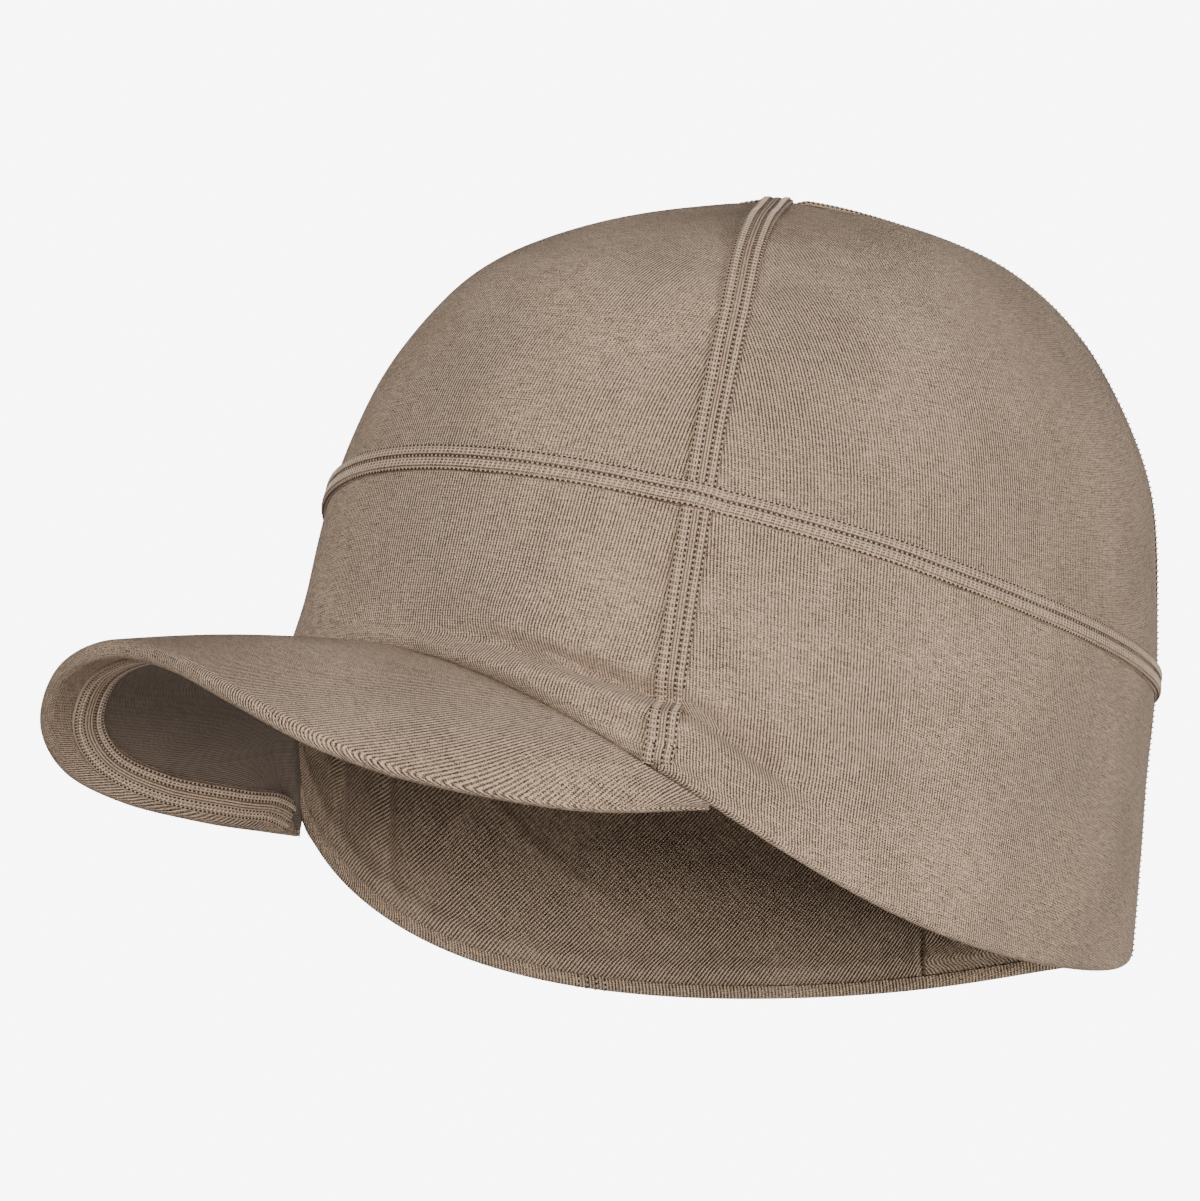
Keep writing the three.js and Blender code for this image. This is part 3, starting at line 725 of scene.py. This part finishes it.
# Folds start at nothing where the lining is sewn in, and grow shallow again towards its top.
fold *= np.sin(np.clip(share * 1.4, 0, 1) * math.pi / 2) * (0.6 + 0.4 * np.cos(share * 3))
beside = (np.degrees(inner_angle - LINING_SEAM) + 180) % 360 - 180
for f in (RIDGE, GROOVE):
    fold += f["out"] * np.exp(-((beside / f["width"]) ** 2))
from_roll = inner_z - inner_z[:1] - FOOT_ROLL["above"]
fold += FOOT_ROLL["out"] * np.exp(-((from_roll / FOOT_ROLL["width"]) ** 2))
shown = skin(inner_angle, inner_x, -CLOTH - SHOWN_DEPTH - np.clip(fold, -0.2, 4))
every = 6
hidden = skin(inner_angle[::every], inner_x[::every], -CLOTH - HIDDEN_DEPTH)
grid = np.concatenate([shown, hidden[::-1], shown[:1]])
u, v = run_length(shown, 1), run_length(shown, 0)
slant_cos, slant_sin = math.cos(LINING_SLANT), math.sin(LINING_SLANT)
weave = np.stack([u * slant_cos - v * slant_sin, u * slant_sin + v * slant_cos], -1)
weave = np.concatenate([weave, weave[::every][::-1], weave[:1]])
lining = cloth_mesh("ear_band_cloth", grid, weave, caps=False)
dress(lining, [lining_knit], ["ear_band_lining"])

# Hem join: four short rows of stitches over the turned-in edge on the wearer's right, where the ends
# of the edge's cloth are closed with the same thread.
HEM_JOIN = math.radians(-112.8)
JOIN_PITCH, JOIN_LONG, JOIN_HOLE, JOIN_PROUD = 1.0, 0.6, 0.4, 0.05
bend = np.radians(np.linspace(60, 172, 24))
hem_rows = []
for beside in FLAT_SEAM["rows"]:
    angle = HEM_JOIN + beside * float(per_round(HEM_JOIN, edge_at(HEM_JOIN)))
    low_end = edge_at(np.full_like(bend, angle))
    up_share = HEM_RADIUS * (1 - np.sin(bend)) * per_up(angle, low_end)
    path = skin(angle, low_end + up_share, -HEM_RADIUS * (1 - np.cos(bend)))
    off_hem = outward(np.full_like(bend, angle), low_end) * np.cos(bend)[:, None]
    off_hem = unit(off_hem - np.array([0, 0, 1]) * np.sin(bend)[:, None])
    hem_rows.append((path + off_hem * JOIN_PROUD, off_hem, 0.0, JOIN_LONG, JOIN_HOLE))
stitches("hem_join_stitches", hem_rows, JOIN_PITCH, seed=13)

# Visor: a stiff curved insert wrapped in the crown's jersey, with a smoother lining below whose
# darker colour is painted shade.
# Its cover is tucked under the crown's edge from temple to temple and sewn to the lining there.

# Half of the visor's outer edge, from its middle to the temple: how far aside and ahead it is and
# how high. right_lift is how much higher it is on the wearer's right.
VISOR_EDGE = {
    "side": [0, 21.5, 38.5, 48.5, 53, 56.5, 64.5],
    "ahead": [-149, -147.3, -141.5, -130.5, -114.5, -95, -76],
    "height": [-3.2, -6.6, -14.6, -22.8, -28.8, -32.6, -35],
    "right_lift": [0, 0, -1.0, -1.0, -0.3, 0.6, 2.2],
}

# Its thickness in the middle and at its ends, and how far round the head its ends are.
VISOR_THICK, VISOR_END_THICK = 3.8, 1.6
VISOR_LEFT, VISOR_RIGHT = math.radians(64), math.radians(58)

# The root runs just below the crown's edge and just off its skin. The outer edge ends lower still
# and further out.
VISOR_RISE, ROOT_OFF = -0.9, 0.3
VISOR_END_RISE, VISOR_END_OUT = -0.6, 1.8

# The visor tilts to one side, bulges up in the middle, turns out of the crown's slope over a share
# of its depth, and keeps its direction past VISOR_STEADY. A crease runs along the root on top.
VISOR_TILT, VISOR_BULGE, VISOR_TURN, VISOR_STEADY = 0.02, 1.2, 0.5, 0.88
ROOT_CREASE, CREASE_SHARE = 0.9, 0.05

# The crown's jersey stretched over the insert along its ribs, which draws them closer together. Between
# the ribs it is painted darker than the crown, as painted shade.
visor_knit = jersey("stretched_ribbed_jersey", "#33261d", "#ccae92", rib=0.7, loop=0.5, depth=0.4)
CLOSER_RIBS = 1.25

# Smooth plain jersey, almost without fuzz, so that it shows no more than a grain. Its darker colour
# is painted shade, for the shade under the visor.
under_knit = jersey("underside_jersey", "#403630", "#746557", rib=0.6, loop=0.6, depth=0.1, melange=2.0,
                    fuzz=0.03)


def visor_root(t, up, off=ROOT_OFF):
    """Points where the visor meets the crown. t runs from -1 at the right end to 1 at the left."""
    angle = t * np.where(t > 0, VISOR_LEFT, VISOR_RIGHT)
    x = section_at(edge_height(angle) + VISOR_RISE + up)
    return plain_skin(angle, x) + outward(angle, x) * (relief(angle, x, False) + off)[..., None]


def visor_edge(t):
    last = len(VISOR_EDGE["side"])
    both = []
    for way in (-1, 1):
        side, ahead, height = (np.array(VISOR_EDGE[n], float) for n in ("side", "ahead", "height"))
        if way < 0:
            height = height + VISOR_EDGE["right_lift"]
        rows = np.stack([way * side, ahead, height - way * VISOR_TILT * side], -1)
        end = visor_root(np.array([float(way)]), VISOR_END_RISE, ROOT_OFF + VISOR_END_OUT)[0]
        rows = np.stack([rows[1] * (-1, 1, 1), *rows, end, 2 * end - rows[-1]])
        both.append(np.stack([smooth_curve(rows[:, i], np.abs(t) * last, last) for i in range(3)], -1))
    return np.where((t < 0)[..., None], both[0], both[1])


def ruled(t, v):
    """Points on straight lines from the root at v = 0 to the edge at v = 1."""
    root, edge = visor_root(t, 0), visor_edge(t)
    return root + (edge - root) * v[..., None]


def visor_normal(t, v, step=0.004):
    inner = np.clip(t, -VISOR_STEADY, VISOR_STEADY)
    across = ruled(inner + step, v) - ruled(inner - step, v)
    return unit(np.cross(visor_edge(inner) - visor_root(inner, 0), across))


def visor_point(t, v, off):
    """Points off the visor's middle layer, which bulges between root and edge."""
    up_crown = unit(visor_root(t, 1) - visor_root(t, -1))
    normal = visor_normal(t, v)
    blend = np.minimum(v / VISOR_TURN, 1)[..., None]
    towards = unit(up_crown * (1 - blend) + normal * blend)
    bulge = VISOR_BULGE * np.sin(math.pi * v) * (1 - t * t)
    return ruled(t, v) + towards * off[..., None] + normal * bulge[..., None]


def visor_half(t):
    return 0.5 * (VISOR_THICK + (VISOR_END_THICK - VISOR_THICK) * t**6)


def visor_depth(t):
    return np.linalg.norm(visor_edge(t) - visor_root(t, 0), axis=-1)


# Rows of points round the visor: from the tuck under the crown over the top, round the edge, back
# below and up into the tuck. share_out is how far from the root a row below is, as a share of the
# depth, and marks the other rows. Each row of the tuck is so far in and so far up.
stations = np.linspace(-1, 1, 281)
flat = np.linspace(0, 1, 40)
bends = np.radians(np.linspace(0, 180, 19)[1:-1])
half = visor_half(stations)
rounding = half / visor_depth(stations)
tuck = 1 - stations**8
TUCK_TOP = 2.0
TUCK_ROWS = [(1.2, 0.5), (2.4, 1.1), (3.4, 1.6), (3.8, 3.1), (3.9, 5.4)]
UNDER_CROWN, NOT_BELOW = -1.0, 2.0
rows = [visor_root(stations, half * 0.5, ROOT_OFF - TUCK_TOP * tuck)]
share_out = [UNDER_CROWN]
outline = [(s, 0.0, 1.0) for s in flat]
outline += [(1.0, math.sin(a), math.cos(a)) for a in bends]
outline += [(s, 0.0, -1.0) for s in flat[::-1]]
for s, rounded, level in outline:
    v = s * (1 - rounding) + rounded * rounding
    crease = ROOT_CREASE * math.exp(-((s / CREASE_SHARE) ** 2)) if level > 0 else 0.0
    rows.append(visor_point(stations, v, level * half - crease))
    share_out.append(s if level < 0 and not rounded else NOT_BELOW)
for inward, rise in TUCK_ROWS:
    rows.append(visor_root(stations, -half + rise * tuck, ROOT_OFF - inward * tuck))
    share_out.append(UNDER_CROWN)
rows.append(rows[0])
share_out.append(UNDER_CROWN)
grid = np.array(rows)

# The ring seam's distance from the visor's edge in front, beside it and at the ends, and where on
# the visor each begins. Below, the lining fills the ring.
RING_MARGINS, RING_STATIONS = [9.5, 7.8, 5.0], [0.45, 0.8, 0.93]
LINING_END = 0.97


def ring_v_at(t):
    return 1 - np.interp(np.abs(t), RING_STATIONS, RING_MARGINS) / visor_depth(t)


middle_t = 0.5 * (stations[1:] + stations[:-1])
row_share = np.minimum(share_out[1:], share_out[:-1])
row_share[: len(flat) + len(bends) + 1] = NOT_BELOW
second = (row_share[:, None] < ring_v_at(middle_t)[None, :]) & (np.abs(middle_t) < LINING_END)[None, :]
u = run_length(grid[..., [0, 2]], 1)
u = CLOSER_RIBS * (u - u[:, [len(stations) // 2]])
visor = cloth_mesh("visor_cover", grid, np.stack([u, run_length(grid, 0)], -1), second=second)
dress(visor, [visor_knit, under_knit], ["visor"])

# Visor seam: a chunky flat seam in an open ring that joins the visor's cover to its lining below. Two
# pairs of stitch rows are joined by short threads, and both ends run in under the crown's edge, at
# these shares of the way from the visor's middle to its ends.
RING_LEFT, RING_RIGHT = 0.88, 0.9
ring_t = np.linspace(-RING_RIGHT, RING_LEFT, 300)
ring_v = ring_v_at(ring_t)
ring_path = visor_point(ring_t, ring_v, -visor_half(ring_t))
seam("visor_seam", ["visor_seam"], ring_path, -visor_normal(ring_t, ring_v), seed=11,
     rows=[-2.7, -1.1, 1.1, 2.7], rungs=[(-1.9, 1.2), (1.9, 1.2)], half_width=3.3, proud=1.1, lift=0.15)

# Floor and light: a plain pale floor well below the held-up hat, and a broad soft daylight. Both floor
# and backdrop glow towards the viewer alone, so that they look pale and leave the hollow dark.
FLOOR_LEVEL, FLOOR_SIZE, FLOOR_GLOW = -1.3, 12, 0.9
BACKDROP, AMBIENT = 8.0, 0.09
bpy.ops.mesh.primitive_plane_add(size=FLOOR_SIZE, location=(0, 0, FLOOR_LEVEL))
floor = bpy.context.object
floor.name = "floor"
# Matt painted board, almost white, with faint clouds 50 mm wide.
pale_floor = spun("pale_floor", "#e6e5e3", "#ebeae8", grain=0.02, rough=0.9)
floor_tree = pale_floor.node_tree
facing = add(floor_tree, "ShaderNodeLightPath").outputs["Is Camera Ray"]
glow = floor_tree.nodes["Principled BSDF"].inputs
floor_tree.links.new(maths(floor_tree, "MULTIPLY", facing, FLOOR_GLOW), glow["Emission Strength"])
glow["Emission Color"].default_value = linear("#f1f1f0")
floor.data.materials.append(pale_floor)

world = bpy.data.worlds.new("studio")
world.use_nodes = True
background = world.node_tree.nodes["Background"].inputs
background["Color"].default_value = (1, 1, 1, 1)
seen = add(world.node_tree, "ShaderNodeLightPath").outputs["Is Camera Ray"]
strength = maths(world.node_tree, "MULTIPLY_ADD", seen, BACKDROP, AMBIENT)
world.node_tree.links.new(strength, background["Strength"])
bpy.context.scene.world = world


def soft_light(name, place, width, power):
    """A round light aimed at the hat, with place and width in metres and power in watts."""
    lamp = bpy.data.lights.new(name, "AREA")
    lamp.shape, lamp.size, lamp.energy = "DISK", width, power
    holder = bpy.data.objects.new(name, lamp)
    holder.location = place
    holder.rotation_mode = "QUATERNION"
    holder.rotation_quaternion = (-Vector(place)).to_track_quat("-Z", "Y")
    bpy.context.scene.collection.objects.link(holder)


# The key light is beside the camera and the front light ahead of the visor, both higher than the
# hat. The low light reaches into the hollow, the side light reaches the rear panels, and the light
# behind gives the far edges a faint rim.
soft_light("key", (1.72, -1.3, 0.46), 1.1, 28)
soft_light("front", (1.05, -1.9, 0.5), 0.9, 36)
soft_light("low", (2.05, 0.36, -0.36), 0.4, 29)
soft_light("side", (1.9, 0.9, 0.3), 1.0, 15)
soft_light("behind", (-1.7, 1.4, 0.2), 1.2, 14)

# Camera: in front of the wearer's left, a little below the visor, from far away. Lengths are in
# millimetres, but for CLIP_END in metres. The picture is shifted off AIM, a point inside the hat.
AZIMUTH, ELEVATION = math.radians(58.86), math.radians(-5.52)
DISTANCE, PIXELS_PER_MM, FRAME_WIDTH = 2481.0, 4.99, 1200
SENSOR_WIDTH, CLIP_END = 36, 20
SHIFT_RIGHT, SHIFT_UP = -21.94, 32.25
AIM = np.array([0, -10, -19])
back_way = np.array([math.sin(AZIMUTH) * math.cos(ELEVATION),
                     -math.cos(AZIMUTH) * math.cos(ELEVATION), math.sin(ELEVATION)])
right_way = np.array([math.cos(AZIMUTH), math.sin(AZIMUTH), 0])
up_way = np.cross(back_way, right_way)
eye = AIM + right_way * SHIFT_RIGHT + up_way * SHIFT_UP + back_way * DISTANCE
camera_data = bpy.data.cameras.new("camera")
camera_data.sensor_width = SENSOR_WIDTH
camera_data.lens = SENSOR_WIDTH * DISTANCE * PIXELS_PER_MM / FRAME_WIDTH
camera_data.clip_end = CLIP_END
camera = bpy.data.objects.new("camera", camera_data)
camera.location = eye * MM
camera.rotation_mode = "QUATERNION"
camera.rotation_quaternion = Vector(-back_way).to_track_quat("-Z", "Y")
bpy.context.scene.collection.objects.link(camera)
bpy.context.scene.camera = camera
